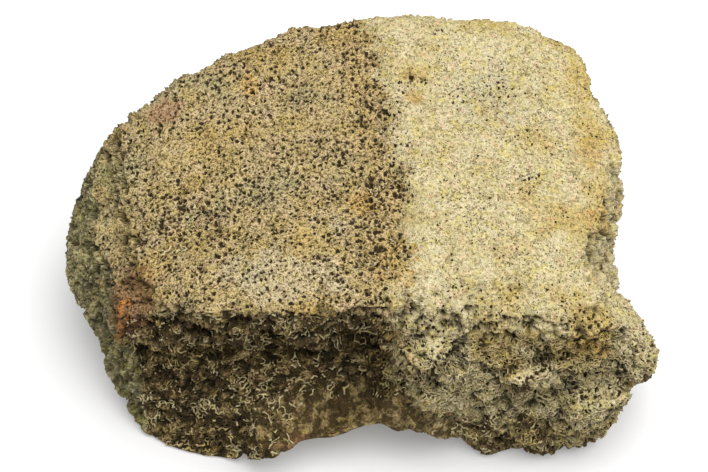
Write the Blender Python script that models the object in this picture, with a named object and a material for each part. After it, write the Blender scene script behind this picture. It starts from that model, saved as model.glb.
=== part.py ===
"""A section of fossil bone, 150 mm wide: one broken block of spongy bone that stands on three worn feet.

Its broad upper side is two flat breaks that meet at a low ridge, and the right one stands a little proud.
The right block runs forward past the left block, whose front is set back under a lip.
The left end keeps a strip of the bone's outer wall.
"""

import math

import bmesh
import bpy
import numpy as np
from mathutils import noise

MM = 0.001

# The outline, in millimetres, as the piece shows it from the front and above.
# The first number of a point runs across to the right, and the second up the outline.
OUTLINE_RISE_DEG = 50.0
OUTLINE = [
    # left end, from its foot up to the shoulder
    (-58.2, 13.3), (-61.2, 16.1), (-65.1, 24.7), (-65.3, 29.1), (-70.2, 36.5), (-74.2, 43.1),
    (-75.0, 48.7), (-74.7, 58.4), (-72.4, 65.3), (-69.9, 71.9), (-65.1, 79.8), (-60.2, 86.0),
    # top edge of the left block, with a small nub
    (-52.8, 90.1), (-47.4, 95.2), (-45.4, 97.6), (-42.6, 96.7), (-33.7, 102.3), (-26.3, 104.6),
    (-18.9, 108.4), (-15.3, 109.4), (-8.6, 109.2), (-3.1, 110.7),
    # top edge of the right block
    (5.6, 111.7), (13.8, 112.2), (24.0, 111.0), (40.8, 110.5), (47.7, 106.9), (56.6, 102.6),
    # right end, down to the lobe
    (59.4, 94.9), (59.6, 91.5), (64.0, 84.9), (65.8, 77.8), (67.1, 64.3), (67.7, 60.5),
    (65.8, 58.0), (65.6, 50.8), (66.8, 41.3), (69.1, 37.8), (74.2, 30.4), (75.0, 25.5),
    (74.2, 21.9), (69.4, 18.1), (68.0, 15.4), (65.1, 12.8), (62.5, 6.1), (58.7, 3.6),
    # right foot, in two toes
    (50.8, 0.8), (46.4, 0.3), (42.9, 0.8), (40.3, 2.9), (34.9, 0.5), (30.4, 0.1),
    # the arch between the feet
    (25.8, 5.1), (22.4, 4.6), (12.5, 7.4), (9.7, 6.4), (5.6, 8.9), (1.5, 8.4), (-5.6, 5.4), (-13.3, 4.8),
    # left foot
    (-21.4, 0.3), (-38.8, 0.0), (-49.7, 3.1), (-55.4, 7.1), (-57.9, 9.9),
]

# The middle of the block, in millimetres: across, back from the front foot, and up from the table.
MIDDLE = np.array((0.0, 50.7, 26.0))

# Flat breaks: the way each one faces (right, back, up), and its distance from the middle in millimetres.
SHARED_BREAKS = {
    "outer wall of the bone": ((-0.82, -0.10, 0.48), 62.0),
    "worn shoulder of the outer wall": ((-0.52, -0.12, 0.80), 48.6),
    "outer wall, front corner": ((-0.74, -0.64, 0.20), 63.0),
    "back": ((0.05, 0.98, 0.18), 51.5),
    "back left corner": ((-0.62, 0.76, 0.20), 60.0),
    "back right corner": ((0.66, 0.72, 0.10), 65.0),
    "right end, front corner": ((0.85, -0.50, 0.10), 78.0),
    "underside": ((0.0, 0.0, -1.0), 27.5),
    "underside, back slope": ((-0.05, 0.62, -0.78), 44.0),
    "underside, left slope": ((-0.72, 0.10, -0.68), 61.0),
    "underside, right slope": ((0.68, 0.18, -0.70), 61.0),
}
TOP_BREAKS = {
    "left top": ((-0.18, -0.13, 1.00), 32.8),
    "right top": ((0.16, -0.13, 1.00), 35.6),
}
LEFT_BLOCK = {
    "left front, set back": ((-0.14, -1.00, -0.20), 40.4),
    "inside the right block": ((0.75, -0.60, 0.25), 38.5),
}
LEFT_FOOT_BLOCK = {
    "slope of the left foot": ((-0.10, -0.85, 0.50), 35.5),
    "front of the left foot": ((-0.10, -1.00, 0.00), 51.5),
    "level inside the left block": ((0.0, 0.0, 1.0), 14.0),
}
RIGHT_BLOCK = {
    "side over the left front": ((-0.90, -0.40, -0.14), 7.5),
    "right shoulder": ((0.05, -0.68, 0.73), 46.0),
    "right front": ((0.00, -1.00, 0.10), 51.0),
}
# Each block with the sharpness of its edges: the right one's are worn rounder.
BLOCKS = ((LEFT_BLOCK, 24.0), (LEFT_FOOT_BLOCK, 24.0), (RIGHT_BLOCK, 16.0))
JOIN_SHARPNESS = 60.0
# How much the sides draw in away from the seen outline, so that they don't run straight back.
SIDE_BARREL = 0.32
MOST_BARREL_SLOPE = 0.8

# The right block stands proud of the left one by this step. Its edge is given up the outline, then across it.
STEP_RISE = 1.6
STEP_WIDTH = 5.0
STEP_WANDER, STEP_WANDER_LENGTH = 4.0, 8.0
STEP_FROM, STEP_FULL = 26.0, 40.0
STEP_EDGE = [
    (11.7, 21.0), (13.3, 15.8), (17.1, 10.7), (20.9, 7.1), (27.3, 6.6), (34.9, 7.7), (42.6, 9.4),
    (50.3, 12.0), (57.9, 12.8), (68.1, 11.5), (73.0, 10.0), (78.3, 8.2), (84.0, 8.9), (91.1, 6.4),
    (101.3, 4.3), (112.0, 3.2),
]
UPPER_SIDE_FROM, UPPER_SIDE_FULL = 0.2, 0.7

# Lumps (positive) and hollows (negative) of the seen side: across, up the outline, width, height, rise.
# All in millimetres. The width and the height are of the whole mark.
MARK_FALL = 1.4
SEEN_SIDE_FROM, SEEN_SIDE_FULL = -0.25, 0.15
MARKS = {
    "hollow on the right top": (15.5, 92.5, 15.0, 11.0, -1.6),
    "rim of that hollow": (13.0, 97.5, 12.0, 5.0, 0.5),
    "pit below it": (16.8, 71.4, 5.5, 5.5, -0.9),
    "hollow at the foot of the step": (4.0, 62.0, 15.0, 44.0, -0.6),
    "cave under the lip": (0.0, 27.0, 17.0, 24.0, -6.0),
    "lower cave": (-4.0, 15.5, 22.0, 9.0, -3.2),
    "long ledge's crevice": (-25.0, 31.5, 42.0, 5.0, -2.0),
    "long ledge": (-27.0, 26.0, 50.0, 6.5, 1.4),
    "iron stained knob": (-55.5, 38.0, 13.0, 18.0, 2.0),
    "hollow beside the knob": (-62.5, 34.0, 8.0, 14.0, -1.2),
    "outer wall's swelling": (-69.0, 52.0, 14.0, 30.0, 1.2),
    "crevice over the left foot": (-45.0, 9.5, 20.0, 6.0, -2.6),
    "left foot": (-30.0, 5.0, 34.0, 11.0, 2.6),
    "toe on the left foot": (-53.0, 6.0, 11.0, 8.0, 2.2),
    "corner of the right block": (15.0, 13.0, 18.0, 11.0, 2.2),
    "hollow under the right block": (27.0, 12.5, 20.0, 9.0, -3.4),
    "upper crevice of the lobe": (50.0, 29.0, 16.0, 4.0, -0.8),
    "swelling of the lobe": (60.0, 29.0, 22.0, 16.0, 1.8),
    "lower crevice of the lobe": (57.0, 19.0, 26.0, 4.5, -2.4),
    "shelf under the lobe": (55.0, 12.5, 24.0, 8.0, 1.4),
    "swell of the right shoulder": (28.0, 28.0, 46.0, 16.0, 1.6),
    "first toe's hollow": (37.0, 8.0, 10.0, 6.0, -1.4),
    "second toe": (48.0, 4.0, 16.0, 8.0, 1.6),
    "sag between the shoulders": (-20.0, 74.0, 60.0, 50.0, -1.0),
    "swell of the right top": (38.0, 66.0, 50.0, 60.0, 1.1),
}

# The underside is arched between three feet: each one's place across and back, then half its width and depth.
# A foot is level to FOOT_FROM of that size, and its worn edge ends at FOOT_TO of it, plus or minus a wander.
ARCH_HEIGHT = 12.0
ARCH_REACH = 24.0
FEET = {
    "left foot": (-39.0, 19.0, 21.0, 22.0),
    "right foot": (44.0, 16.0, 21.0, 21.0),
    "back foot": (4.0, 84.0, 30.0, 18.0),
}
FOOT_FROM, FOOT_TO = 0.55, 1.35
FOOT_WANDER, FOOT_WANDER_LENGTH = 0.40, 15.0

# Roughness: the length and the height of its lumps, how far they rise, and where the noise is read.
ROUGHNESS = ((26.0, 20.0, 3.6, 3.0), (13.0, 9.0, 3.6, 41.0), (7.5, 5.0, 2.4, 87.0))
# Crevices run where a slower noise crosses zero: its length and height, then their depth and width in it.
CREVICE_LENGTH, CREVICE_TALL = 24.0, 12.0
CREVICE_DEPTH, CREVICE_WIDTH = 2.4, 0.10
SMOOTH_SHARE = 0.22
ROUGH_BELOW, SMOOTH_ABOVE = 0.55, 0.90
WALL_SHARE, WALL_FROM, WALL_FULL = 0.5, 0.55, 0.80
UNDERSIDE_SHARE, UNDERSIDE_FROM, UNDERSIDE_FULL = 0.5, 0.25, 0.65

# The outline is fitted in this many steps round. Its broad curve bends the whole piece, and its fine points
# bend only what lies as near to the viewer as the outline does, within FINE_DEPTH millimetres.
OUTLINE_STEPS = 180
BROAD_FITS, FINE_FITS = 3, 6
BROAD_STEPS, FINE_STEPS = 9, 3
FINE_DEPTH = 9.0
OUTLINE_FIT_FROM = 0.72
HOLD_FROM = 0.985

SOFTENING = 0.5
FOOT_SNAP = 0.25
ICO_SUBDIVISIONS = 7
TRIANGLES = 9600
SMOOTH_ANGLE_DEG = 35.0
BONE_COLOUR = (0.42, 0.35, 0.20, 1.0)
BONE_ROUGHNESS = 0.9


def smoothstep(value, low, high):
    share = np.clip((value - low) / (high - low), 0.0, 1.0)
    return share * share * (3.0 - 2.0 * share)


def outline_axes():
    """The directions across, up the outline and out of it, as rows."""
    rise = math.radians(OUTLINE_RISE_DEG)
    across = (1.0, 0.0, 0.0)
    up = (0.0, math.sin(rise), math.cos(rise))
    out = (0.0, -math.cos(rise), math.sin(rise))
    return np.array((across, up, out))


AXES = outline_axes()


def around(values, steps):
    """Each value's mean with those on both sides of it, all the way round."""
    spread = np.arange(-(steps // 2), steps // 2 + 1)
    return np.mean([np.roll(values, shift) for shift in spread], axis=0)


def step_middles():
    return ((np.arange(OUTLINE_STEPS) + 0.5) / OUTLINE_STEPS - 0.5) * 2.0 * math.pi


def round_the_outline(angles, values):
    """A value for each angle, from the values at the middles of the steps round."""
    return np.interp(angles, step_middles(), values, period=2.0 * math.pi)


def outline_radius():
    """The outline's distance from the middle, as seen, at each step round."""
    points = np.array(OUTLINE) - AXES[:2] @ MIDDLE
    angles = np.arctan2(points[:, 1], points[:, 0])
    order = np.argsort(angles)
    radii = np.hypot(points[:, 0], points[:, 1])
    return np.interp(step_middles(), angles[order], radii[order], period=2.0 * math.pi)


def outline_distance(directions):
    """How far each ray from the middle runs before it leaves the outline's broad curve, with barrel sides."""
    seen = directions @ AXES.T
    radius = round_the_outline(np.arctan2(seen[:, 1], seen[:, 0]), around(outline_radius(), BROAD_STEPS))
    flat = np.maximum(np.hypot(seen[:, 0], seen[:, 1]), 1e-6)
    barrel = 1.0 + SIDE_BARREL * np.minimum(np.abs(seen[:, 2] / flat), MOST_BARREL_SLOPE) ** 2
    return radius / (flat * barrel)


def block_distance(directions, breaks, sharpness):
    """How far each ray runs before it leaves a block, whose edges are worn round."""
    total = outline_distance(directions) ** -sharpness
    for facing, distance in {**SHARED_BREAKS, **TOP_BREAKS, **breaks}.values():
        normal = np.array(facing) / np.linalg.norm(facing)
        toward = np.maximum(directions @ normal, 1e-6)
        total += (distance / toward) ** -sharpness
    return total ** (-1.0 / sharpness)


def seen_from_middle(points):
    """The points as seen, from the middle, with the angle and the radius of each one."""
    seen = (points - MIDDLE) @ AXES.T
    return seen, np.arctan2(seen[:, 1], seen[:, 0]), np.hypot(seen[:, 0], seen[:, 1])


def farthest(seen, angles, radii):
    """The radius and the depth of the farthest point in each step round."""
    step = np.floor((angles / (2.0 * math.pi) + 0.5) * OUTLINE_STEPS).astype(int) % OUTLINE_STEPS
    order = np.lexsort((radii, step))
    last = order[np.append(np.diff(step[order]) > 0, True)]
    reached, depth = np.ones(OUTLINE_STEPS), np.zeros(OUTLINE_STEPS)
    reached[step[last]] = radii[last]
    depth[step[last]] = seen[last, 2]
    return reached, depth


def fit_broadly(points):
    """Moves the outer points toward the broad curve of the outline."""
    seen, angles, radii = seen_from_middle(points)
    reached, _ = farthest(seen, angles, radii)
    change = around(outline_radius() / reached - 1.0, BROAD_STEPS)
    share = smoothstep(radii / round_the_outline(angles, reached), OUTLINE_FIT_FROM, 1.0)
    seen[:, :2] *= (1.0 + round_the_outline(angles, change) * share)[:, None]
    return MIDDLE + seen @ AXES


def fit_finely(points):
    """Moves the points that make the outline out to it, and holds back those that stand past it."""
    seen, angles, radii = seen_from_middle(points)
    reached, depth = farthest(seen, angles, radii)
    change = np.maximum(around(outline_radius() / reached - 1.0, FINE_STEPS), 0.0)
    share = smoothstep(radii / round_the_outline(angles, reached), OUTLINE_FIT_FROM, 1.0)
    behind = seen[:, 2] - round_the_outline(angles, around(depth, BROAD_STEPS))
    grown = 1.0 + round_the_outline(angles, change) * share * np.exp(-((behind / FINE_DEPTH) ** 2))
    past = grown * radii / round_the_outline(angles, outline_radius())
    held = HOLD_FROM + (1.0 - HOLD_FROM) * np.tanh((past - HOLD_FROM) / (1.0 - HOLD_FROM))
    grown *= np.where(past > HOLD_FROM, held / past, 1.0)
    seen[:, :2] *= grown[:, None]
    return MIDDLE + seen @ AXES


def add_step(points, normals):
    """Raises the right block over the left one, on the upper side."""
    seen = points @ AXES.T
    edge = np.interp(seen[:, 1], *zip(*STEP_EDGE))
    edge += [STEP_WANDER * noise.noise(point / STEP_WANDER_LENGTH) for point in points]
    right = smoothstep(seen[:, 0] - edge, -0.5 * STEP_WIDTH, 0.5 * STEP_WIDTH)
    upper = smoothstep(seen[:, 1], STEP_FROM, STEP_FULL)
    upper *= smoothstep(normals[:, 2], UPPER_SIDE_FROM, UPPER_SIDE_FULL)
    return points + normals * (STEP_RISE * right * upper)[:, None]


def add_marks(points, normals):
    """Moves the seen side's points along their normals by the lumps and hollows."""
    seen = points @ AXES.T
    facing_out = smoothstep(normals @ AXES[2], SEEN_SIDE_FROM, SEEN_SIDE_FULL)
    for across, up, width, height, rise in MARKS.values():
        away = np.hypot((seen[:, 0] - across) / (0.5 * width), (seen[:, 1] - up) / (0.5 * height))
        points = points + normals * (rise * np.exp(-MARK_FALL * away**2) * facing_out)[:, None]
    return points


def add_roughness(points, normals):
    """Breaks up the surface, least on the flat tops, the bone's outer wall and the underside."""
    steepness = 1.0 - smoothstep(normals[:, 2], ROUGH_BELOW, SMOOTH_ABOVE)
    share = SMOOTH_SHARE + (1.0 - SMOOTH_SHARE) * steepness
    share *= 1.0 - (1.0 - WALL_SHARE) * smoothstep(-normals[:, 0], WALL_FROM, WALL_FULL)
    share *= 1.0 - (1.0 - UNDERSIDE_SHARE) * smoothstep(-normals[:, 2], UNDERSIDE_FROM, UNDERSIDE_FULL)
    rise = np.zeros(len(points))
    for index, (across, back, height) in enumerate(points):
        for length, tall, amount, place in ROUGHNESS:
            rise[index] += amount * noise.noise((across / length + place, back / length, height / tall))
        crevice = noise.noise((across / CREVICE_LENGTH, back / CREVICE_LENGTH, height / CREVICE_TALL))
        rise[index] -= CREVICE_DEPTH * max(0.0, 1.0 - abs(crevice) / CREVICE_WIDTH)
    return points + normals * (rise * share)[:, None]


def arch_underside(points):
    """Lifts the underside between the feet."""
    wander = [noise.noise(point / FOOT_WANDER_LENGTH) for point in points]
    lift = np.ones(len(points))
    for across, back, half_width, half_depth in FEET.values():
        away = np.hypot((points[:, 0] - across) / half_width, (points[:, 1] - back) / half_depth)
        lift *= smoothstep(away + FOOT_WANDER * np.array(wander), FOOT_FROM, FOOT_TO)
    low = 1.0 - smoothstep(points[:, 2], 0.0, ARCH_REACH)
    points[:, 2] += ARCH_HEIGHT * lift * low
    return points


def surface_normals(mesh):
    normals = np.empty(len(mesh.vertices) * 3)
    mesh.vertices.foreach_get("normal", normals)
    return normals.reshape(-1, 3)


def mesh_points(mesh):
    points = np.empty(len(mesh.vertices) * 3)
    mesh.vertices.foreach_get("co", points)
    return points.reshape(-1, 3)


def put_points(mesh, points):
    mesh.vertices.foreach_set("co", points.ravel())
    mesh.update()


def soften(mesh):
    """Takes the thin spikes off the roughness."""
    work = bmesh.new()
    work.from_mesh(mesh)
    every_way = {"use_axis_x": True, "use_axis_y": True, "use_axis_z": True}
    bmesh.ops.smooth_vert(work, verts=work.verts, factor=SOFTENING, **every_way)
    work.to_mesh(mesh)
    work.free()


def block_mesh():
    """A fine closed mesh of the whole piece, in millimetres, standing on the table."""
    ball = bmesh.new()
    bmesh.ops.create_icosphere(ball, subdivisions=ICO_SUBDIVISIONS, radius=1.0)
    mesh = bpy.data.meshes.new("bone_section")
    ball.to_mesh(mesh)
    ball.free()
    directions = mesh_points(mesh)
    directions /= np.linalg.norm(directions, axis=1)[:, None]

    reach = sum(block_distance(directions, *block) ** JOIN_SHARPNESS for block in BLOCKS)
    points = arch_underside(MIDDLE + directions * (reach ** (1.0 / JOIN_SHARPNESS))[:, None])
    for change in (add_step, add_marks):
        put_points(mesh, points)
        points = change(points, surface_normals(mesh))
    for _ in range(BROAD_FITS):
        points = fit_broadly(points)
    put_points(mesh, points)
    put_points(mesh, add_roughness(points, surface_normals(mesh)))
    soften(mesh)
    points = mesh_points(mesh)
    for _ in range(FINE_FITS):
        points = fit_finely(points)
        points[:, 2] = np.maximum(points[:, 2], 0.0)
    put_points(mesh, points)
    return mesh


def thinned(mesh, triangles):
    """The same surface with fewer triangles, closest together where it bends most."""
    helper = bpy.data.objects.new("fine_bone", mesh)
    bpy.context.scene.collection.objects.link(helper)
    decimate = helper.modifiers.new("fewer triangles", "DECIMATE")
    decimate.ratio = triangles / len(mesh.polygons)
    decimate.use_collapse_triangulate = True
    bpy.context.view_layer.update()
    graph = bpy.context.evaluated_depsgraph_get()
    thin = bpy.data.meshes.new_from_object(helper.evaluated_get(graph))
    bpy.data.objects.remove(helper)
    bpy.data.meshes.remove(mesh)
    return thin


def settle(mesh):
    """Lays the feet flat at height 0, puts the origin under the middle of the piece, and goes to metres."""
    points = mesh_points(mesh)
    points[points[:, 2] < FOOT_SNAP, 2] = 0.0
    low, high = points.min(axis=0), points.max(axis=0)
    points[:, :2] -= 0.5 * (low + high)[:2]
    put_points(mesh, points * MM)


def bone_material():
    material = bpy.data.materials.new("fossil_bone")
    material.use_nodes = True
    shader = material.node_tree.nodes["Principled BSDF"]
    shader.inputs["Base Color"].default_value = BONE_COLOUR
    shader.inputs["Roughness"].default_value = BONE_ROUGHNESS
    shader.inputs["Metallic"].default_value = 0.0
    return material


def main():
    for obj in list(bpy.data.objects):
        bpy.data.objects.remove(obj)
    collection = bpy.data.collections.new("fossil bone section")
    bpy.context.scene.collection.children.link(collection)

    mesh = thinned(block_mesh(), TRIANGLES)
    settle(mesh)
    mesh.name = "bone_section"
    mesh.shade_smooth()
    mesh.set_sharp_from_angle(angle=math.radians(SMOOTH_ANGLE_DEG))
    mesh.materials.append(bone_material())
    bone = bpy.data.objects.new("bone_section", mesh)
    collection.objects.link(bone)


main()
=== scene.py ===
"""A broken section of fossil bone on a pale studio floor.

The surface of the bone is made from the solid that the frame holds: a fine closed mesh, pitted with pores.
A net of thin struts stands on its open breaks. Colours follow the way the bone broke; shade and highlights
are painted in too.
"""

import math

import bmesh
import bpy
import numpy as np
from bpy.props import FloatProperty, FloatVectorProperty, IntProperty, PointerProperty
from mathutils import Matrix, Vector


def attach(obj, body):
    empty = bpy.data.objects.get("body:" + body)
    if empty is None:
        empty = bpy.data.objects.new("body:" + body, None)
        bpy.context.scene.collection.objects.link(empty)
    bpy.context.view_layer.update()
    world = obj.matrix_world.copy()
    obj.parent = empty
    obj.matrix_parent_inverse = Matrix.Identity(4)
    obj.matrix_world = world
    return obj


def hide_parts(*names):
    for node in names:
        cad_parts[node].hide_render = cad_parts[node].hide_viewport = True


bl_info = {
    "name": "Fossil bone section",
    "version": (1, 0, 0),
    "blender": (4, 5, 0),
    "location": "3D View > Sidebar > Fossil bone",
    "description": "Makes a broken block of spongy fossil bone, and a stage to look at it on",
    "category": "Add Mesh",
}

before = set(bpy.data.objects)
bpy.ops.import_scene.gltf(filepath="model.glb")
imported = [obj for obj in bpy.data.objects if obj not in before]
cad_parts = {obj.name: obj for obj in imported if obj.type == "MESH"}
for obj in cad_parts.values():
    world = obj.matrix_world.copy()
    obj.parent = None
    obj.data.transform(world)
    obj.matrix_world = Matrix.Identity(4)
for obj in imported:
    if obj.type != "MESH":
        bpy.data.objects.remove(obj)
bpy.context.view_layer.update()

MM = 0.001
BONE_NODE = "bone_section"

# The photograph looks at the piece from this height, through this lens.
RISE = math.radians(50.0)
LENS_MM, SENSOR_MM = 150.0, 36.0
IMAGE_WIDTH, IMAGE_HEIGHT = 708, 472
# The piece's outline in the image: how many pixels it spans, its middle across and its lowest row.
OUTLINE_SPAN_PX, OUTLINE_MIDDLE_PX, OUTLINE_FOOT_PX = 588.0, 357.5, 457.0

RIGHT = np.array((1.0, 0.0, 0.0))
UP = np.array((0.0, math.sin(RISE), math.cos(RISE)))
TOWARD = np.array((0.0, -math.cos(RISE), math.sin(RISE)))

# Where the right block meets the left one: up the outline, then across it, in millimetres.
STEP_EDGE = [
    (0.0, 22.0), (11.7, 21.0), (13.3, 15.8), (17.1, 10.7), (20.9, 7.1), (27.3, 6.6), (34.9, 7.7),
    (42.6, 9.4), (50.3, 12.0), (57.9, 12.8), (68.1, 11.5), (73.0, 10.0), (78.3, 8.2), (84.0, 8.9),
    (91.1, 6.4), (101.3, 4.3), (112.0, 3.2),
]
# Where the bone's outer wall gives way to its spongy inside: up the outline, then across it.
WALL_EDGE = [
    (0.0, -50.0), (19.6, -53.5), (32.4, -58.0), (42.6, -61.0), (50.3, -62.5), (65.6, -64.0),
    (78.3, -67.0), (90.0, -66.0), (112.0, -62.0),
]

# The paint of the left block runs from 1 to 0 over this width round the step, in millimetres. Low down on
# the piece it grows to 2.5 times as much.
STEP_REACH = 16.0

# Spots of the seen side: across, up the outline, width, height, all in millimetres, then strength.
STAINS = {
    "rust": [(-55.5, 39.5, 12.0, 17.0, 1.0), (-57.3, 36.5, 5.0, 9.0, 0.9), (-16.0, 4.3, 12.0, 5.0, 0.7)],
    "bright_rust": [(-57.6, 38.0, 3.6, 9.0, 1.0), (-59.0, 31.0, 3.0, 6.0, 0.6)],
    "red": [(-49.2, 86.7, 9.0, 7.0, 0.8), (-51.0, 45.5, 11.0, 8.0, 0.5), (-44.0, 90.0, 8.0, 5.0, 0.4)],
    "ochre": [
        (-27.3, 94.4, 4.5, 6.5, 1.0), (0.5, 64.3, 9.0, 8.0, 0.7), (56.6, 77.0, 13.0, 12.0, 0.6),
        (41.0, 31.5, 6.0, 4.0, 0.8), (54.0, 28.6, 16.0, 6.0, 0.8), (14.5, 90.8, 6.0, 4.0, 0.9),
        (-33.0, 69.0, 4.0, 3.0, 0.7), (6.0, 48.0, 8.0, 12.0, 0.5), (8.0, 30.0, 6.0, 10.0, 0.6),
        (2.0, 24.0, 8.0, 5.0, 0.4), (60.0, 60.0, 10.0, 12.0, 0.5), (-28.8, 5.5, 24.0, 7.0, 0.15),
    ],
    "pale": [
        (-17.9, 46.5, 30.0, 15.0, 0.9), (-5.4, 58.7, 3.6, 3.8, 1.0), (-46.0, 70.0, 9.0, 5.0, 0.5),
        (7.0, 84.0, 6.0, 16.0, 0.5), (14.0, 65.0, 8.0, 8.0, 0.5), (66.0, 34.0, 12.0, 10.0, 0.3),
    ],
    "grey": [(33.7, 91.0, 22.0, 22.0, 0.7), (-43.0, 80.0, 14.0, 8.0, 0.4), (26.0, 40.0, 16.0, 12.0, 0.4)],
    "green": [(-56.5, 9.4, 5.0, 8.0, 1.0), (-64.0, 70.0, 10.0, 22.0, 0.5), (-70.0, 50.0, 8.0, 20.0, 0.3)],
}
# Deep hollows of the set-back front, as spots whose strength is the depth's share.
HOLLOWS = [
    (0.8, 23.7, 15.0, 22.0, 1.0), (-0.8, 15.3, 7.0, 5.0, 0.8), (-25.8, 26.5, 26.0, 5.0, 0.8),
    (-40.3, 24.5, 9.0, 6.0, 0.7), (46.4, 15.8, 32.0, 7.0, 0.8), (22.0, 11.5, 15.0, 7.0, 0.7),
    (-12.0, 16.0, 12.0, 8.0, 0.6), (62.0, 24.0, 8.0, 8.0, 0.5), (34.0, 22.0, 12.0, 5.0, 0.5),
]
# Places where the pores are open wider than around them, or closed with mineral (below 0).
OPEN_PLACES = [
    (5.1, 71.9, 14.0, 8.0, 0.5), (3.6, 89.8, 6.0, 10.0, 0.5), (3.0, 52.0, 10.0, 14.0, 0.3),
    (11.8, 78.3, 4.5, 3.6, 0.8), (13.5, 95.4, 8.0, 2.6, 0.8), (10.8, 90.5, 2.6, 6.0, 0.6),
    (41.1, 70.4, 7.0, 4.0, 0.6), (33.0, 88.0, 12.0, 12.0, 0.25), (-43.0, 60.0, 26.0, 20.0, 0.25),
    (-46.0, 76.0, 12.0, 6.0, -0.4), (-32.0, 76.0, 14.0, 8.0, -0.25), (-17.9, 46.5, 30.0, 12.0, -0.15),
    (-50.0, 88.0, 16.0, 6.0, -0.4),
]
# The thin rim over the arch, which stays smooth: its middle across, its half width, how far up the outline
# it reaches and how softly it ends there, in millimetres.
RIM_MIDDLE, RIM_HALF_WIDTH, RIM_TOP, RIM_FADE = -1.0, 24.0, 20.0, 7.0
# Below this far up the outline, in millimetres, the left block's broken front gets painted shade, wider pores
# and struts.
LEFT_FRONT_TOP = 38.0

# Struts stand where the painted net is at least this, and this seed picks the broken ones.
NET_LEAST = 0.45
STRUT_SEED = 7
STRUT_SIDES = 3
# The direction that the sun shines from.
SUN_FROM = Vector((0.26, -0.04, 0.95))

# Shades that mix with the five main colours.
PALE_CREAM, YELLOW_CREAM = (0.55, 0.49, 0.29, 1.0), (0.47, 0.37, 0.14, 1.0)
PALE_TAN, GREY_TAN, YELLOW_TAN = (0.40, 0.32, 0.17, 1.0), (0.33, 0.29, 0.145, 1.0), (0.37, 0.275, 0.095, 1.0)
STEP_TAN = (0.40, 0.29, 0.11, 1.0)
# Mottles the painted shade of the set-back faces.
PALE_SHADE_BROWN = (0.33, 0.25, 0.105, 1.0)
DARK_WALL, PALE_WALL = (0.16, 0.15, 0.075, 1.0), (0.47, 0.42, 0.23, 1.0)
# Painted shade for the crevices of the rough breaks and for the small pores.
CREVICE_SHADE, TINY_PORE_SHADE = (0.016, 0.011, 0.005, 1.0), (0.075, 0.05, 0.02, 1.0)
# Each stain's strength and colour, in the order in which they lie over one another.
STAIN_COLOURS = {
    "pale": (0.45, (0.46, 0.41, 0.26, 1.0)),
    "grey": (0.4, (0.40, 0.37, 0.24, 1.0)),
    "green": (0.6, (0.20, 0.19, 0.05, 1.0)),
    "ochre": (0.6, (0.42, 0.26, 0.06, 1.0)),
    "red": (0.55, (0.28, 0.13, 0.07, 1.0)),
    "rust": (0.65, (0.17, 0.075, 0.035, 1.0)),
}
BRIGHT_RUST_STRENGTH, BRIGHT_RUST = 0.75, (0.45, 0.17, 0.025, 1.0)
# What a colour is multiplied by for painted shade, for a painted highlight, and to make it yellower or
# pinker.
SHADED, HIGHLIGHT = (0.34, 0.27, 0.16, 1.0), (1.55, 1.5, 1.6, 1.0)
YELLOWER, PINKER = (1.05, 1.0, 0.62, 1.0), (1.12, 0.96, 0.98, 1.0)


class BoneSettings(bpy.types.PropertyGroup):
    cell: FloatProperty(
        name="Cell", description="Edge of the cells that the surface is rebuilt from",
        default=0.42 * MM, subtype="DISTANCE", unit="LENGTH", precision=5,
    )
    closing: FloatProperty(
        name="Closing", description="How far the surface is grown and shrunk again to close slits",
        default=0.8 * MM, subtype="DISTANCE", unit="LENGTH", precision=5,
    )
    smoothing: IntProperty(
        name="Smoothing", description="How many times the solid's facets are smoothed", default=10, min=0,
    )
    triangles: IntProperty(
        name="Triangles", description="The most triangles that the surface keeps", default=194000, min=10000,
    )
    pore_spacing: FloatProperty(
        name="Pore spacing", description="From one open pore to the next, on the coarse spongy bone",
        default=1.15 * MM, subtype="DISTANCE", unit="LENGTH", precision=5,
    )
    fine_spacing: FloatProperty(
        name="Fine pore spacing", description="From one small pore to the next",
        default=0.62 * MM, subtype="DISTANCE", unit="LENGTH", precision=5,
    )
    pore_depth: FloatProperty(
        name="Pore depth", description="How far an open pore goes in",
        default=0.85 * MM, subtype="DISTANCE", unit="LENGTH", precision=5,
    )
    net_depth: FloatProperty(
        name="Net depth", description="How far the surface sinks between the open struts",
        default=0.9 * MM, subtype="DISTANCE", unit="LENGTH", precision=5,
    )
    crag_depth: FloatProperty(
        name="Crag depth", description="How far the crevices of the rough breaks go in",
        default=1.9 * MM, subtype="DISTANCE", unit="LENGTH", precision=5,
    )
    hollow_depth: FloatProperty(
        name="Hollow depth", description="How far the hollows of the front go in",
        default=3.0 * MM, subtype="DISTANCE", unit="LENGTH", precision=5,
    )
    relief: FloatProperty(
        name="Relief", description="How far the rough breaks stand up and fall in",
        default=2.2 * MM, subtype="DISTANCE", unit="LENGTH", precision=5,
    )


class StrutSettings(bpy.types.PropertyGroup):
    triangles: IntProperty(
        name="Cells", description="Triangles of the coarse surface that the struts follow", default=74000,
    )
    strut: FloatProperty(
        name="Strut", description="Half of a strut's thickness",
        default=0.25 * MM, subtype="DISTANCE", unit="LENGTH", precision=5,
    )
    lift: FloatProperty(
        name="Lift", description="How far the struts stand off the sunken surface",
        default=0.28 * MM, subtype="DISTANCE", unit="LENGTH", precision=5,
    )
    wander: FloatProperty(
        name="Wander", description="How far the struts' ends stray from the surface",
        default=0.65 * MM, subtype="DISTANCE", unit="LENGTH", precision=5,
    )
    missing: FloatProperty(
        name="Missing", description="Share of the struts that are broken away",
        default=0.15, min=0.0, max=1.0,
    )


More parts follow.
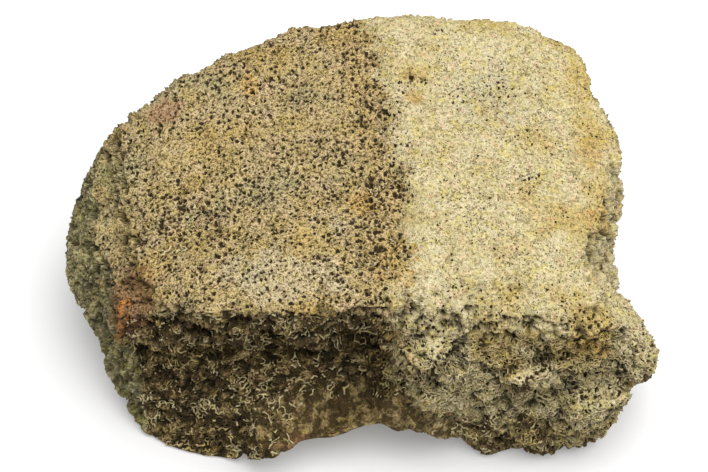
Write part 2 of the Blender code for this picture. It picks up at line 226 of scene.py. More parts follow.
class ColourSettings(bpy.types.PropertyGroup):
    cream: FloatVectorProperty(
        name="Cream", description="Right block, clean break", subtype="COLOR", default=(0.49, 0.425, 0.215),
    )
    tan: FloatVectorProperty(
        name="Tan", description="Left block, weathered break", subtype="COLOR", default=(0.37, 0.29, 0.113),
    )
    # Painted shade for the set-back, undercut and downward faces, and between the struts.
    shade_brown: FloatVectorProperty(
        name="Brown", description="Deep, set-back breaks", subtype="COLOR", default=(0.070, 0.048, 0.016),
    )
    wall: FloatVectorProperty(
        name="Outer wall", description="Weathered outer wall", subtype="COLOR", default=(0.27, 0.245, 0.105),
    )
    # Painted shade inside the pores.
    pore: FloatVectorProperty(
        name="Pore", description="Inside of the pores", subtype="COLOR", default=(0.034, 0.020, 0.007),
    )


class StageSettings(bpy.types.PropertyGroup):
    floor_width: FloatProperty(
        name="Floor width", description="Edge of the square floor",
        default=4.0, subtype="DISTANCE", unit="LENGTH",
    )
    floor_colour: FloatVectorProperty(
        name="Floor colour", description="Plain pale floor", subtype="COLOR", default=(0.70, 0.70, 0.70),
    )
    floor_glow: FloatProperty(
        name="Floor glow", description="Light of the floor itself, which keeps shadows on it pale",
        default=0.20,
    )
    sun_strength: FloatProperty(
        name="Sun strength", description="Main soft light, from above and a little to the right", default=3.5,
    )
    sun_spread: FloatProperty(
        name="Sun spread", description="How wide the main light looks from the piece",
        default=math.radians(75.0), subtype="ANGLE", unit="ROTATION",
    )
    sky_strength: FloatProperty(
        name="Sky strength", description="Even light from all round", default=0.42,
    )


def smoothstep(value, low, high):
    share = np.clip((value - low) / (high - low), 0.0, 1.0)
    return share * share * (3.0 - 2.0 * share)


def mesh_array(mesh, name):
    values = np.empty(len(mesh.vertices) * 3)
    mesh.vertices.foreach_get(name, values)
    return values.reshape(-1, 3)


CAD_POINTS = mesh_array(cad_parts[BONE_NODE].data, "co")
OUTLINE_FOOT = float((CAD_POINTS @ UP).min())


def merged_copy(node):
    """The node's mesh with its loose triangles joined."""
    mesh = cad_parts[node].data.copy()
    work = bmesh.new()
    work.from_mesh(mesh)
    bmesh.ops.remove_doubles(work, verts=work.verts, dist=0.001 * MM)
    work.to_mesh(mesh)
    work.free()
    mesh.materials.clear()
    return mesh


def evaluated(obj):
    """Turns what the object's modifiers make into its own plain mesh."""
    bpy.context.view_layer.update()
    graph = bpy.context.evaluated_depsgraph_get()
    made = bpy.data.meshes.new_from_object(obj.evaluated_get(graph))
    obj.modifiers.clear()
    old = obj.data
    obj.data = made
    bpy.data.meshes.remove(old)
    made.name = obj.name
    return made


def new_piece(name, mesh):
    piece = bpy.data.objects.new(name, mesh)
    bpy.context.scene.collection.objects.link(piece)
    return piece


def place_in_frame(piece):
    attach(piece, "root")


class Wiring:
    """Adds nodes to a shader tree or a geometry tree and joins them."""

    def __init__(self, tree):
        self.tree = tree

    def node(self, kind, **settings):
        node = self.tree.nodes.new(kind)
        for name, value in settings.items():
            setattr(node, name, value)
        return node

    def feed(self, socket, value):
        if isinstance(value, bpy.types.NodeSocket):
            self.tree.links.new(value, socket)
        else:
            socket.default_value = value

    def math(self, operation, *values, clamp=False):
        node = self.node("ShaderNodeMath", operation=operation, use_clamp=clamp)
        for socket, value in zip(node.inputs, values):
            self.feed(socket, value)
        return node.outputs[0]

    def vector(self, operation, *values, scale=None):
        node = self.node("ShaderNodeVectorMath", operation=operation)
        for socket, value in zip(node.inputs, values):
            self.feed(socket, value)
        if scale is not None:
            self.feed(node.inputs["Scale"], scale)
        return node.outputs[0]

    def between(self, value, low, high, to_low=0.0, to_high=1.0):
        """The value eased from low to high onto to_low to to_high. Low may be above high."""
        node = self.node("ShaderNodeMapRange", interpolation_type="SMOOTHSTEP")
        for name, number in zip(("Value", "From Min", "From Max", "To Min", "To Max"),
                                (value, low, high, to_low, to_high)):
            self.feed(node.inputs[name], number)
        return node.outputs[0]

    def blend(self, share, first, second, blend_type="MIX"):
        """A colour between the first and the second."""
        node = self.node("ShaderNodeMix", data_type="RGBA", blend_type=blend_type)
        self.feed(node.inputs[0], share)
        self.feed(node.inputs[6], first)
        self.feed(node.inputs[7], second)
        return node.outputs[2]

    def noise(self, place, size, detail=2.0, roughness=0.5, colour=False):
        """Soft noise from 0 to 1, with lumps about this size in metres."""
        node = self.node("ShaderNodeTexNoise")
        self.feed(node.inputs["Vector"], place)
        self.feed(node.inputs["Scale"], 1.0 / size)
        self.feed(node.inputs["Detail"], detail)
        self.feed(node.inputs["Roughness"], roughness)
        return node.outputs["Color" if colour else 0]

    def cells(self, place, size):
        """(distance to the nearest cell's middle, 0 to about 0.8; the cell's own random number)"""
        node = self.node("ShaderNodeTexVoronoi")
        self.feed(node.inputs["Vector"], place)
        if isinstance(size, bpy.types.NodeSocket):
            self.feed(node.inputs["Scale"], self.math("DIVIDE", 1.0, size))
        else:
            self.feed(node.inputs["Scale"], 1.0 / size)
        split = self.node("ShaderNodeSeparateColor") if self.tree.type == "SHADER" else (
            self.node("FunctionNodeSeparateColor"))
        self.feed(split.inputs[0], node.outputs["Color"])
        return node.outputs["Distance"], split.outputs[0]

    def warp(self, place, size, amount):
        """The place moved about by noise, so that what is drawn there has uneven edges."""
        drift = self.vector("SUBTRACT", self.noise(place, size, detail=1.0, colour=True), (0.5, 0.5, 0.5))
        return self.vector("ADD", place, self.vector("SCALE", drift, scale=amount))


def open_pores(wiring, place, openness, spacing):
    """How deep in a pore each place is, 0 to 1. Where openness is higher, the pores are wider."""
    uneven = wiring.warp(place, 0.9 * MM, 0.9 * MM)
    distance, number = wiring.cells(uneven, spacing)
    clusters = wiring.math("MULTIPLY_ADD", wiring.noise(place, 8.0 * MM, detail=3.0), 1.3, -0.65)
    openness = wiring.math("MAXIMUM", wiring.math("ADD", openness, clusters), 0.1)
    widest = wiring.math("MULTIPLY_ADD", openness, 0.52, 0.04)
    share = wiring.math("MULTIPLY_ADD", number, 0.75, 0.45)
    edge = wiring.math("MULTIPLY", widest, share)
    inside = wiring.math("MULTIPLY", edge, 0.6)
    return wiring.between(distance, edge, inside)


def strut_net(wiring, place, spacing):
    """Thin crossing struts, 0 between them to 1 along their tops."""
    node = wiring.node("ShaderNodeTexVoronoi", feature="DISTANCE_TO_EDGE")
    wiring.feed(node.inputs["Vector"], wiring.warp(place, 0.8 * MM, 0.7 * MM))
    wiring.feed(node.inputs["Scale"], 1.0 / spacing)
    return wiring.between(node.outputs["Distance"], 0.22, 0.02)


def streaks(wiring, place):
    """Thin ridges, 0 to 1, that run along the struts of the broken bone."""
    stretched = wiring.vector("MULTIPLY", place, (0.45, 1.0, 1.0))
    across = wiring.noise(wiring.warp(stretched, 4.0 * MM, 3.0 * MM), 1.3 * MM, detail=1.5)
    ridge = wiring.math("ABSOLUTE", wiring.math("MULTIPLY_ADD", across, 2.0, -1.0))
    return wiring.between(ridge, 0.28, 0.0)


def geometry_tree(name, sizes):
    """A geometry tree with these named number inputs, and its wiring, its input node and its output node."""
    tree = bpy.data.node_groups.new(name, "GeometryNodeTree")
    tree.interface.new_socket("Geometry", in_out="INPUT", socket_type="NodeSocketGeometry")
    for size, value in sizes.items():
        socket = tree.interface.new_socket(size, in_out="INPUT", socket_type="NodeSocketFloat")
        socket.default_value = value
    tree.interface.new_socket("Geometry", in_out="OUTPUT", socket_type="NodeSocketGeometry")
    wiring = Wiring(tree)
    return wiring, wiring.node("NodeGroupInput"), wiring.node("NodeGroupOutput")


def run_tree(piece, wiring, sizes, material):
    """Runs the tree on the piece with these sizes, and keeps what it makes as a plain mesh."""
    modifier = piece.modifiers.new(wiring.tree.name, "NODES")
    modifier.node_group = wiring.tree
    for item in wiring.tree.interface.items_tree:
        if item.in_out == "INPUT" and item.name in sizes:
            modifier[item.identifier] = sizes[item.name]
    mesh = evaluated(piece)
    if not len(mesh.polygons):
        raise RuntimeError(f"{piece.name} has no faces")
    if material.name not in mesh.materials:
        mesh.materials.append(material)
    return mesh


def finish_tree(wiring, geometry, group_out, material):
    """Ends the tree in Realize Instances and Set Material."""
    real = wiring.node("GeometryNodeRealizeInstances")
    wiring.feed(real.inputs[0], geometry)
    dressed = wiring.node("GeometryNodeSetMaterial")
    dressed.inputs["Material"].default_value = material
    wiring.feed(dressed.inputs["Geometry"], real.outputs[0])
    wiring.feed(group_out.inputs[0], dressed.outputs[0])


def named(wiring, name):
    """Reads a number that was painted on the surface."""
    node = wiring.node("GeometryNodeInputNamedAttribute", data_type="FLOAT")
    node.inputs["Name"].default_value = name
    return node.outputs[0]


def stored(wiring, geometry, name, value, data_type="FLOAT"):
    node = wiring.node("GeometryNodeStoreNamedAttribute", data_type=data_type, domain="POINT")
    node.inputs["Name"].default_value = name
    wiring.feed(node.inputs["Geometry"], geometry)
    wiring.feed(node.inputs["Value"], value)
    return node.outputs[0]


def spots(across, up, places):
    """The sum of these soft spots at each point. A spot's strength below 0 takes away."""
    total = np.zeros(len(across))
    for middle, height, width, tall, strength in places:
        away = np.hypot((across - middle) / (0.5 * width), (up - height) / (0.5 * tall))
        total += strength * np.exp(-0.9 * away**2)
    return total


def ragged_line(across, up):
    """How far the step's edge strays to the side, in millimetres: waves of three lengths, none in step."""
    long = 1.5 * np.sin(up / 2.9 + 1.3 * np.sin(up / 1.7))
    middling = 0.9 * np.sin(up / 1.1 + across / 1.9 + 0.8 * np.sin(across / 0.9))
    short = 0.6 * np.sin(up / 0.53 - across / 0.71)
    return long + middling + short


def paint(mesh, name, values):
    layer = mesh.attributes.new(name, "FLOAT", "POINT")
    layer.data.foreach_set("value", np.clip(values, 0.0, 1.0).astype(np.float32))


def paint_bone(mesh):
    """Paints how the bone broke, what stains it and where shade is painted, as numbers from 0 to 1 on the
    surface's points.
    """
    points, normals = mesh_array(mesh, "co"), mesh_array(mesh, "normal")
    across = points[:, 0] / MM
    up = (points @ UP - OUTLINE_FOOT) / MM
    height = points[:, 2] / MM
    seen = smoothstep(normals @ TOWARD, -0.2, 0.15)
    flat_top = smoothstep(normals[:, 2], 0.62, 0.88)
    front = smoothstep(-normals[:, 1], 0.35, 0.75)

    from_step = across - np.interp(up, *zip(*STEP_EDGE)) + ragged_line(across, up)
    left = 1.0 - smoothstep(from_step, -1.5, 1.5)
    near_step = np.exp(-((from_step + 4.0) / 7.0) ** 2) * left * smoothstep(up, 30.0, 50.0)
    step_reach = STEP_REACH * (1.0 + 1.5 * smoothstep(56.0 - up, 0.0, 26.0))

    from_wall = across - np.interp(up, *zip(*WALL_EDGE)) + 2.5 + ragged_line(up, across)
    left_end = smoothstep(-normals[:, 0], 0.25, 0.6)
    wall = (1.0 - smoothstep(from_wall, -5.0, 7.0)) * seen
    wall = np.maximum(wall, left_end * smoothstep(-across, 46.0, 58.0) * (1.0 - seen))
    wall *= smoothstep(normals[:, 2], -0.65, -0.25)

    facing = np.maximum(front, smoothstep(30.0 - up, 0.0, 6.0) * seen)
    low_front = facing * left * smoothstep(LEFT_FRONT_TOP - up, -1.0, 4.0)
    undercut = front * (1.0 - left) * smoothstep(16.0 - up, 0.0, 8.0) * smoothstep(58.0 - across, 0.0, 14.0)
    under = smoothstep(-normals[:, 2], 0.1, 0.6)
    # Painted shade on the set-back left front, on faces turned down and on the undercut lower right front; it
    # also deepens the pores and crags there.
    deep_and_shaded = np.maximum(np.maximum(low_front, 0.8 * under), 0.62 * undercut)
    thin_rim = np.exp(-(((across - RIM_MIDDLE) / RIM_HALF_WIDTH) ** 2))
    thin_rim *= smoothstep(RIM_TOP - up, 0.0, RIM_FADE)
    rough = (1.0 - flat_top) * (1.0 - 0.9 * thin_rim)

    openness = 0.27 + 0.46 * left + 0.12 * near_step
    openness += 0.55 * (1.0 - left) * smoothstep(50.0 - up, 0.0, 24.0)
    openness = np.maximum(openness, 0.85 * low_front)
    openness = np.maximum(openness, 0.75 * rough * (1.0 - seen))
    openness = openness + spots(across, up, OPEN_PLACES) * seen
    openness *= (1.0 - 0.5 * wall) * (1.0 - thin_rim)
    right_front = front * (1.0 - left) * smoothstep(34.0 - up, -2.0, 6.0)
    net = np.maximum(low_front, 0.8 * right_front)
    net = np.maximum(net, 0.2 * near_step)
    net = np.maximum(net, 0.35 * smoothstep(openness, 0.66, 0.95) * seen)
    net = np.maximum(net, rough * (1.0 - seen)) * (1.0 - wall) * (1.0 - under) * (1.0 - thin_rim)

    paint(mesh, "left_block", 0.5 - from_step / step_reach)
    paint(mesh, "hollow", spots(across, up, HOLLOWS) * np.maximum(front, 0.3) * seen * (1.0 - thin_rim))
    paint(mesh, "step_band", near_step)
    paint(mesh, "net", net)
    paint(mesh, "openness", openness)
    paint(mesh, "wall", wall)
    paint(mesh, "deep_and_shaded", deep_and_shaded)
    paint(mesh, "rough", rough * (1.0 - 0.25 * wall))
    paint(mesh, "low", np.maximum(1.0 - smoothstep(height, 0.0, 2.0), 0.7 * thin_rim))
    for name, places in STAINS.items():
        paint(mesh, name, spots(across, up, places) * seen)


def pit_the_surface(piece, settings, material):
    """Breaks up the rough faces and sinks the pores, with Geometry Nodes."""
    sizes = {
        "Pore spacing": settings.pore_spacing, "Pore depth": settings.pore_depth,
        "Relief": settings.relief, "Net depth": settings.net_depth,
        "Crag depth": settings.crag_depth, "Hollow depth": settings.hollow_depth,
    }
    wiring, group_in, group_out = geometry_tree("Spongy surface", sizes)
    here = wiring.node("GeometryNodeInputPosition").outputs[0]
    openness, rough = named(wiring, "openness"), named(wiring, "rough")
    deep_and_shaded, low = named(wiring, "deep_and_shaded"), named(wiring, "low")
    geometry = stored(wiring, group_in.outputs["Geometry"], "place", here, "FLOAT_VECTOR")

    pore = open_pores(wiring, here, openness, group_in.outputs["Pore spacing"])
    lumps = wiring.math("ADD", wiring.noise(here, 5.0 * MM, detail=4.0, roughness=0.65), -0.62)
    lines = wiring.math("MULTIPLY", streaks(wiring, here), wiring.math("MULTIPLY", rough, 0.35))
    lumps = wiring.math("MULTIPLY", lumps, wiring.math("MULTIPLY_ADD", rough, 0.9, 0.14))
    rise = wiring.math("ADD", lumps, lines)
    rise = wiring.math("MULTIPLY", rise, group_in.outputs["Relief"])
    lumpy = wiring.math("MULTIPLY_ADD", deep_and_shaded, -0.03, wiring.noise(here, 3.0 * MM, detail=4.0, roughness=0.62))
    crag = wiring.between(lumpy, 0.53, 0.41)
    crag = wiring.math("MULTIPLY", crag, rough)
    crags = wiring.math("MULTIPLY", crag, group_in.outputs["Crag depth"])
    depth = wiring.math("MULTIPLY_ADD", deep_and_shaded, 0.6, 1.0)
    depth = wiring.math("MULTIPLY", depth, group_in.outputs["Pore depth"])
    clumps = wiring.math("MULTIPLY_ADD", wiring.noise(here, 6.0 * MM, detail=3.0), 1.6, -0.8)
    net = wiring.between(wiring.math("ADD", named(wiring, "net"), clumps), 0.3, 0.7)
    hollow = wiring.math("ADD", named(wiring, "hollow"), wiring.math("MULTIPLY", clumps, 0.6))
    hollow = wiring.math("MULTIPLY", wiring.between(hollow, 0.25, 0.95), group_in.outputs["Hollow depth"])
    sink = wiring.math("ADD", wiring.math("MULTIPLY", net, group_in.outputs["Net depth"]), hollow)
    sink = wiring.math("ADD", wiring.math("MULTIPLY_ADD", pore, depth, crags), sink)
    move = wiring.math("SUBTRACT", rise, sink)
    move = wiring.math("MULTIPLY", move, wiring.math("SUBTRACT", 1.0, low))

    geometry = stored(wiring, geometry, "net", net)
    geometry = stored(wiring, geometry, "crag", crag)
    setter = wiring.node("GeometryNodeSetPosition")
    wiring.feed(setter.inputs["Geometry"], geometry)
    normal = wiring.node("GeometryNodeInputNormal").outputs[0]
    wiring.feed(setter.inputs["Offset"], wiring.vector("SCALE", normal, scale=move))
    finish_tree(wiring, setter.outputs[0], group_out, material)
    return run_tree(piece, wiring, sizes, material)


def strut_tree(settings, material):
    """Turns a coarse copy of the surface into thin struts, one along each edge between its cells."""
    sizes = {
        "Strut": settings.strut, "Lift": settings.lift,
        "Wander": settings.wander, "Missing": settings.missing,
    }
    wiring, group_in, group_out = geometry_tree("Strut net", sizes)
    dual = wiring.node("GeometryNodeDualMesh")
    wiring.feed(dual.inputs[0], group_in.outputs["Geometry"])
    here = wiring.node("GeometryNodeInputPosition").outputs[0]
    drift = wiring.vector("SUBTRACT", wiring.noise(here, 0.9 * MM, colour=True), (0.5, 0.5, 0.5))
    setter = wiring.node("GeometryNodeSetPosition")
    wiring.feed(setter.inputs["Geometry"], dual.outputs[0])
    drift = wiring.vector("SCALE", drift, scale=group_in.outputs["Wander"])
    normal = wiring.node("GeometryNodeInputNormal").outputs[0]
    lift = wiring.vector("SCALE", normal, scale=group_in.outputs["Lift"])
    wiring.feed(setter.inputs["Offset"], wiring.vector("ADD", drift, lift))

    lost = wiring.node("FunctionNodeRandomValue", data_type="FLOAT")
    lost.inputs["Seed"].default_value = STRUT_SEED
    outside = wiring.math("LESS_THAN", named(wiring, "net"), NET_LEAST)
    gone = wiring.math("LESS_THAN", lost.outputs["Value"], group_in.outputs["Missing"])
    thinned = wiring.node("GeometryNodeDeleteGeometry", domain="EDGE")
    wiring.feed(thinned.inputs["Geometry"], setter.outputs[0])
    wiring.feed(thinned.inputs["Selection"], wiring.math("MAXIMUM", outside, gone))

    curves = wiring.node("GeometryNodeMeshToCurve")
    wiring.feed(curves.inputs["Mesh"], thinned.outputs[0])
    swell = wiring.between(wiring.noise(here, 1.6 * MM, detail=2.0), 0.3, 0.7, 0.5, 1.5)
    ring = wiring.node("GeometryNodeCurvePrimitiveCircle")
    ring.inputs["Resolution"].default_value = STRUT_SIDES
    ring.inputs["Radius"].default_value = 1.0
    tubes = wiring.node("GeometryNodeCurveToMesh")
    tubes.inputs["Fill Caps"].default_value = True
    wiring.feed(tubes.inputs["Curve"], curves.outputs[0])
    wiring.feed(tubes.inputs["Scale"], wiring.math("MULTIPLY", swell, group_in.outputs["Strut"]))
    wiring.feed(tubes.inputs["Profile Curve"], ring.outputs[0])
    geometry = stored(wiring, tubes.outputs[0], "place", here, "FLOAT_VECTOR")
    geometry = stored(wiring, geometry, "strut", 1.0)
    finish_tree(wiring, geometry, group_out, material)
    return wiring, sizes


def thin_out(piece, triangles):
    """Takes away the triangles that the shape needs least."""
    piece.data.calc_loop_triangles()
    thinner = piece.modifiers.new("thin out", "DECIMATE")
    thinner.ratio = min(1.0, triangles / len(piece.data.loop_triangles))
    thinner.use_collapse_triangulate = True
    return evaluated(piece)


def colour(values):
    return (*values, 1.0)


def bone_material(colours, bone):
    """Spongy fossil bone: cream and tan breaks, a grey-green outer wall, stains, painted shade and painted
    highlights.
    """
    material = bpy.data.materials.new("fossil bone")
    material.use_nodes = True
    wiring = Wiring(material.node_tree)
    shader = material.node_tree.nodes["Principled BSDF"]

    def painted(name):
        node = wiring.node("ShaderNodeAttribute", attribute_type="GEOMETRY", attribute_name=name)
        return node.outputs["Vector" if name == "place" else "Fac"]

    place = painted("place")
    broad = wiring.noise(place, 16.0 * MM, detail=3.0)
    middling = wiring.noise(wiring.vector("ADD", place, (0.3, 0.1, 0.2)), 5.0 * MM, detail=4.0, roughness=0.6)
    small = wiring.noise(place, 1.4 * MM, detail=3.0, roughness=0.6)

    cream = wiring.blend(wiring.between(middling, 0.35, 0.65), colour(colours.cream), PALE_CREAM)
    cream = wiring.blend(wiring.between(broad, 0.5, 0.7), cream, YELLOW_CREAM)
    tan = wiring.blend(wiring.between(middling, 0.3, 0.7), colour(colours.tan), PALE_TAN)
    tan = wiring.blend(wiring.between(broad, 0.52, 0.72), tan, GREY_TAN)
    tan = wiring.blend(wiring.between(broad, 0.48, 0.3), tan, YELLOW_TAN)
    patchy = wiring.noise(wiring.vector("ADD", place, (0.1, 0.3, 0.5)), 2.6 * MM, detail=4.0, roughness=0.65)
    # The painted shade colour, mottled.
    shade_brown = wiring.blend(wiring.between(patchy, 0.46, 0.60), colour(colours.shade_brown), PALE_SHADE_BROWN)
    wall = wiring.blend(wiring.between(middling, 0.4, 0.6), colour(colours.wall), DARK_WALL)
    wall = wiring.blend(wiring.between(small, 0.5, 0.7), wall, PALE_WALL)

    ragged = wiring.math("MULTIPLY_ADD", middling, 1.3, wiring.math("MULTIPLY_ADD", small, 0.6, -0.95))

    def patch(name, strength=1.0):
        edge = wiring.math("ADD", painted(name), ragged)
        return wiring.math("MULTIPLY", wiring.between(edge, 0.3, 0.65), strength)

    wander = wiring.math("MULTIPLY_ADD", small, 0.9, wiring.math("MULTIPLY_ADD", middling, 0.9, -0.9))
    left = wiring.between(wiring.math("ADD", painted("left_block"), wander), 0.44, 0.56)
    tan = wiring.blend(wiring.math("MULTIPLY", painted("step_band"), 0.5), tan, STEP_TAN)
    base = wiring.blend(left, cream, tan)
    loose = painted("strut")
    # Painted shade in the sunken gaps between the struts, more of it on the left block.
    gap_shade = wiring.math("MULTIPLY", painted("net"), wiring.math("SUBTRACT", 1.0, loose))
    gap_shade = wiring.math("MULTIPLY", gap_shade, wiring.math("MULTIPLY_ADD", left, 0.25, 0.1))
    base = wiring.blend(gap_shade, base, colour(colours.shade_brown))
    # Painted shade on the set-back, undercut and downward faces.
    base = wiring.blend(patch("deep_and_shaded"), base, shade_brown)
    base = wiring.blend(patch("wall"), base, wall)
    for stain, (strength, tone) in STAIN_COLOURS.items():
        base = wiring.blend(patch(stain, strength), base, tone)
    glow = patch("bright_rust", BRIGHT_RUST_STRENGTH)
    glow = wiring.math("MULTIPLY", glow, wiring.between(small, 0.40, 0.58))
    base = wiring.blend(glow, base, BRIGHT_RUST)

    openness = painted("openness")
    pore = open_pores(wiring, place, openness, bone.pore_spacing)
    pore = wiring.math("MULTIPLY", pore, wiring.math("SUBTRACT", 1.0, loose))
    elsewhere = wiring.vector("ADD", place, (0.2, 0.4, 0.1))
    tiny = open_pores(wiring, elsewhere, wiring.math("MULTIPLY_ADD", openness, 0.45, 0.4), bone.fine_spacing)
    net = strut_net(wiring, place, bone.pore_spacing * 0.8)
    fleck = wiring.noise(elsewhere, 0.8 * MM, detail=2.0, roughness=0.7)
    hue = wiring.noise(elsewhere, 2.2 * MM, detail=2.0)

    # Shaded and lit copies of the colour, for painted shade and painted highlights.
    shade = wiring.blend(1.0, base, SHADED, "MULTIPLY")
    light = wiring.blend(1.0, base, HIGHLIGHT, "MULTIPLY")
    yellow = wiring.blend(1.0, base, YELLOWER, "MULTIPLY")
    pink = wiring.blend(1.0, base, PINKER, "MULTIPLY")
    base = wiring.blend(wiring.between(hue, 0.52, 0.66), base, yellow)
    base = wiring.blend(wiring.between(hue, 0.46, 0.34), base, pink)
    calm = wiring.math("MULTIPLY_ADD", left, 0.5, 0.5)
    calm = wiring.math("MULTIPLY", calm, wiring.math("MULTIPLY_ADD", painted("deep_and_shaded"), -0.55, 1.0))
    # Painted shade in random flecks, less on the right block and on the set-back faces, and in random
    # blotches.
    flecks = wiring.math("MULTIPLY", wiring.between(fleck, 0.52, 0.34), calm)
    base = wiring.blend(flecks, base, shade)
    base = wiring.blend(wiring.between(small, 0.50, 0.36, 0.0, 0.6), base, shade)
    # Painted highlights along the tops of the drawn struts and on the real struts.
    struts = wiring.math("MULTIPLY", net, wiring.between(fleck, 0.35, 0.55))
    loose_highlight = wiring.math("MULTIPLY", loose, wiring.between(patchy, 0.40, 0.65))
    struts = wiring.math("MAXIMUM", struts, loose_highlight)
    base = wiring.blend(wiring.math("MULTIPLY", struts, calm), base, light)
    # Painted shade in the crevices of the rough breaks.
    crevice_shade = wiring.math("MULTIPLY", painted("crag"), wiring.between(small, 0.62, 0.45, 0.45, 1.0))
    base = wiring.blend(crevice_shade, base, CREVICE_SHADE)
    # Painted shade in the small and the open pores.
    base = wiring.blend(wiring.math("MULTIPLY", tiny, 0.7), base, TINY_PORE_SHADE)
    base = wiring.blend(pore, base, colour(colours.pore))
    wiring.feed(shader.inputs["Base Color"], base)
    shader.inputs["Roughness"].default_value = 0.88
    shader.inputs["Specular IOR Level"].default_value = 0.25

    height = wiring.math("ADD", wiring.math("MULTIPLY", small, 0.5), wiring.math("MULTIPLY", fleck, 0.4))
    height = wiring.math("ADD", height, wiring.math("MULTIPLY", net, 0.25))
    height = wiring.math("SUBTRACT", height, wiring.math("MULTIPLY", tiny, 0.4))
    height = wiring.math("SUBTRACT", height, wiring.math("MULTIPLY", pore, 0.9))
    bump = wiring.node("ShaderNodeBump")
    bump.inputs["Strength"].default_value = 1.0
    bump.inputs["Distance"].default_value = 0.45 * MM
    wiring.feed(bump.inputs["Height"], height)
    wiring.feed(shader.inputs["Normal"], bump.outputs[0])
    return material


def close_thin_places(piece, cell, closing):
    """Rebuilds the mesh from even cells, grown and then shrunk again, so that no thin rim is left pierced."""
    for step, grow in enumerate((0.0, closing, -closing)):
        if grow:
            swell = piece.modifiers.new(f"swell {step}", "DISPLACE")
            swell.mid_level = 0.0
            swell.strength = grow
        remesh = piece.modifiers.new(f"even cells {step}", "REMESH")
        remesh.mode = "VOXEL"
        remesh.voxel_size = cell


class FOSSIL_OT_bone_surface(bpy.types.Operator):
    """Makes the bone's fine, pitted surface from the solid in the frame"""

    bl_idname = "fossil.bone_surface"
    bl_label = "Bone surface"

    def execute(self, context):
        bone = context.scene.fossil_bone
        material = bone_material(context.scene.fossil_colours, bone)
        surface = new_piece("bone_surface", merged_copy(BONE_NODE))
        close_thin_places(surface, bone.cell, bone.closing)
        smooth = surface.modifiers.new("worn facets", "SMOOTH")
        smooth.factor = 0.5
        smooth.iterations = bone.smoothing
        paint_bone(evaluated(surface))
        pit_the_surface(surface, bone, material)
        keep_strut_cells(surface.data, context.scene.fossil_struts.triangles)
        thin_out(surface, bone.triangles)
        surface.data.shade_smooth()
        place_in_frame(surface)
        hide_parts(BONE_NODE)
        return {"FINISHED"}


def keep_strut_cells(mesh, triangles):
    """Keeps a coarse copy of the surface, for the struts to follow."""
    cells = new_piece("strut_net", mesh.copy())
    thin_out(cells, triangles)
    cells.data.materials.clear()


class FOSSIL_OT_struts(bpy.types.Operator):
    """Makes the net of thin struts over the open breaks of the spongy bone"""

    bl_idname = "fossil.struts"
    bl_label = "Struts"

    def execute(self, context):
        struts = context.scene.fossil_struts
        material = bpy.data.materials["fossil bone"]
        net = bpy.data.objects["strut_net"]
        run_tree(net, *strut_tree(struts, material), material)
        net.data.shade_smooth()
        place_in_frame(net)
        return {"FINISHED"}


def floor_material(shade, glow):
    material = bpy.data.materials.new("pale floor")
    material.use_nodes = True
    shader = material.node_tree.nodes["Principled BSDF"]
    shader.inputs["Base Color"].default_value = colour(shade)
    shader.inputs["Roughness"].default_value = 0.8
    shader.inputs["Emission Color"].default_value = (1.0, 1.0, 1.0, 1.0)
    shader.inputs["Emission Strength"].default_value = glow
    return material


def add_floor(stage):
    work = bmesh.new()
    bmesh.ops.create_grid(work, x_segments=1, y_segments=1, size=0.5 * stage.floor_width)
    mesh = bpy.data.meshes.new("floor")
    work.to_mesh(mesh)
    work.free()
    mesh.materials.append(floor_material(stage.floor_colour, stage.floor_glow))
    new_piece("floor", mesh)


def add_sun(stage):
    sun = bpy.data.lights.new("soft sun", "SUN")
    sun.energy = stage.sun_strength
    sun.angle = stage.sun_spread
    lamp = bpy.data.objects.new("soft sun", sun)
    lamp.rotation_euler = SUN_FROM.to_track_quat("Z", "Y").to_euler()
    bpy.context.scene.collection.objects.link(lamp)


def add_sky(stage):
    world = bpy.data.worlds.new("pale studio")
    world.use_nodes = True
    background = world.node_tree.nodes["Background"]
    background.inputs["Color"].default_value = (1.0, 1.0, 1.0, 1.0)
    background.inputs["Strength"].default_value = stage.sky_strength
    bpy.context.scene.world = world


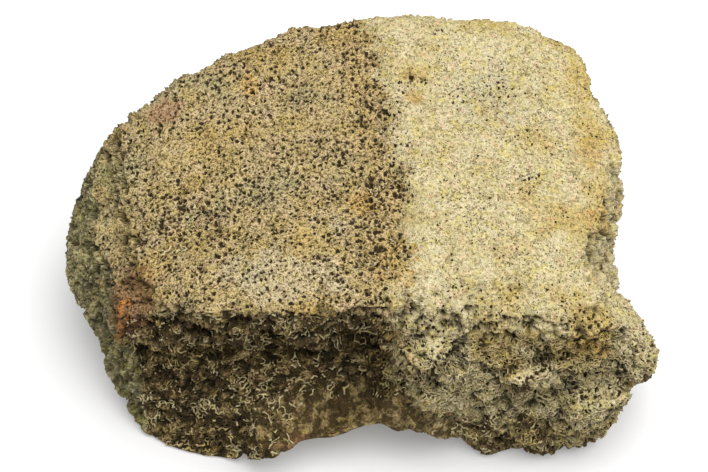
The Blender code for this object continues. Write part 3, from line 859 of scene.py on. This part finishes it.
def add_camera():
    """Looks at the piece as the photograph does, with the outline where it is there."""
    across, up, toward = CAD_POINTS @ RIGHT, CAD_POINTS @ UP, CAD_POINTS @ TOWARD
    pixel = (across.max() - across.min()) / OUTLINE_SPAN_PX
    middle = RIGHT * (0.5 * (across.min() + across.max()) + (0.5 * IMAGE_WIDTH - OUTLINE_MIDDLE_PX) * pixel)
    middle = middle + UP * (up.min() + (OUTLINE_FOOT_PX - 0.5 * IMAGE_HEIGHT) * pixel)
    middle = middle + TOWARD * (0.45 * toward.min() + 0.55 * toward.max())
    data = bpy.data.cameras.new("camera")
    data.lens, data.sensor_width = LENS_MM, SENSOR_MM
    distance = LENS_MM / SENSOR_MM * IMAGE_WIDTH * pixel
    camera = bpy.data.objects.new("camera", data)
    turn = Matrix((RIGHT, UP, TOWARD)).transposed().to_4x4()
    camera.matrix_world = Matrix.Translation(Vector(middle + TOWARD * distance)) @ turn
    bpy.context.scene.collection.objects.link(camera)
    bpy.context.scene.camera = camera


class FOSSIL_OT_stage(bpy.types.Operator):
    """Makes the pale floor, the soft light and the camera"""

    bl_idname = "fossil.stage"
    bl_label = "Stage"

    def execute(self, context):
        stage = context.scene.fossil_stage
        add_floor(stage)
        add_sun(stage)
        add_sky(stage)
        add_camera()
        context.scene.view_settings.view_transform = "Standard"
        return {"FINISHED"}


class FOSSIL_PT_bone(bpy.types.Panel):
    """Sizes, colours and steps of the fossil bone section"""

    bl_idname = "FOSSIL_PT_bone"
    bl_label = "Fossil bone"
    bl_space_type = "VIEW_3D"
    bl_region_type = "UI"
    bl_category = "Fossil bone"

    def draw(self, context):
        for name in SETTINGS:
            settings = getattr(context.scene, name)
            for field in settings.__annotations__:
                self.layout.prop(settings, field)
        for operator in OPERATORS:
            self.layout.operator(operator.bl_idname)


SETTINGS = {
    "fossil_bone": BoneSettings, "fossil_struts": StrutSettings, "fossil_colours": ColourSettings,
    "fossil_stage": StageSettings,
}
OPERATORS = (FOSSIL_OT_bone_surface, FOSSIL_OT_struts, FOSSIL_OT_stage)
CLASSES = (*SETTINGS.values(), *OPERATORS, FOSSIL_PT_bone)


def register():
    for item in CLASSES:
        bpy.utils.register_class(item)
    for name, settings in SETTINGS.items():
        setattr(bpy.types.Scene, name, PointerProperty(type=settings))


def unregister():
    for name in SETTINGS:
        delattr(bpy.types.Scene, name)
    for item in reversed(CLASSES):
        bpy.utils.unregister_class(item)


def main():
    register()
    bpy.ops.fossil.bone_surface()
    bpy.ops.fossil.struts()
    bpy.ops.fossil.stage()


if __name__ == "__main__":
    main()
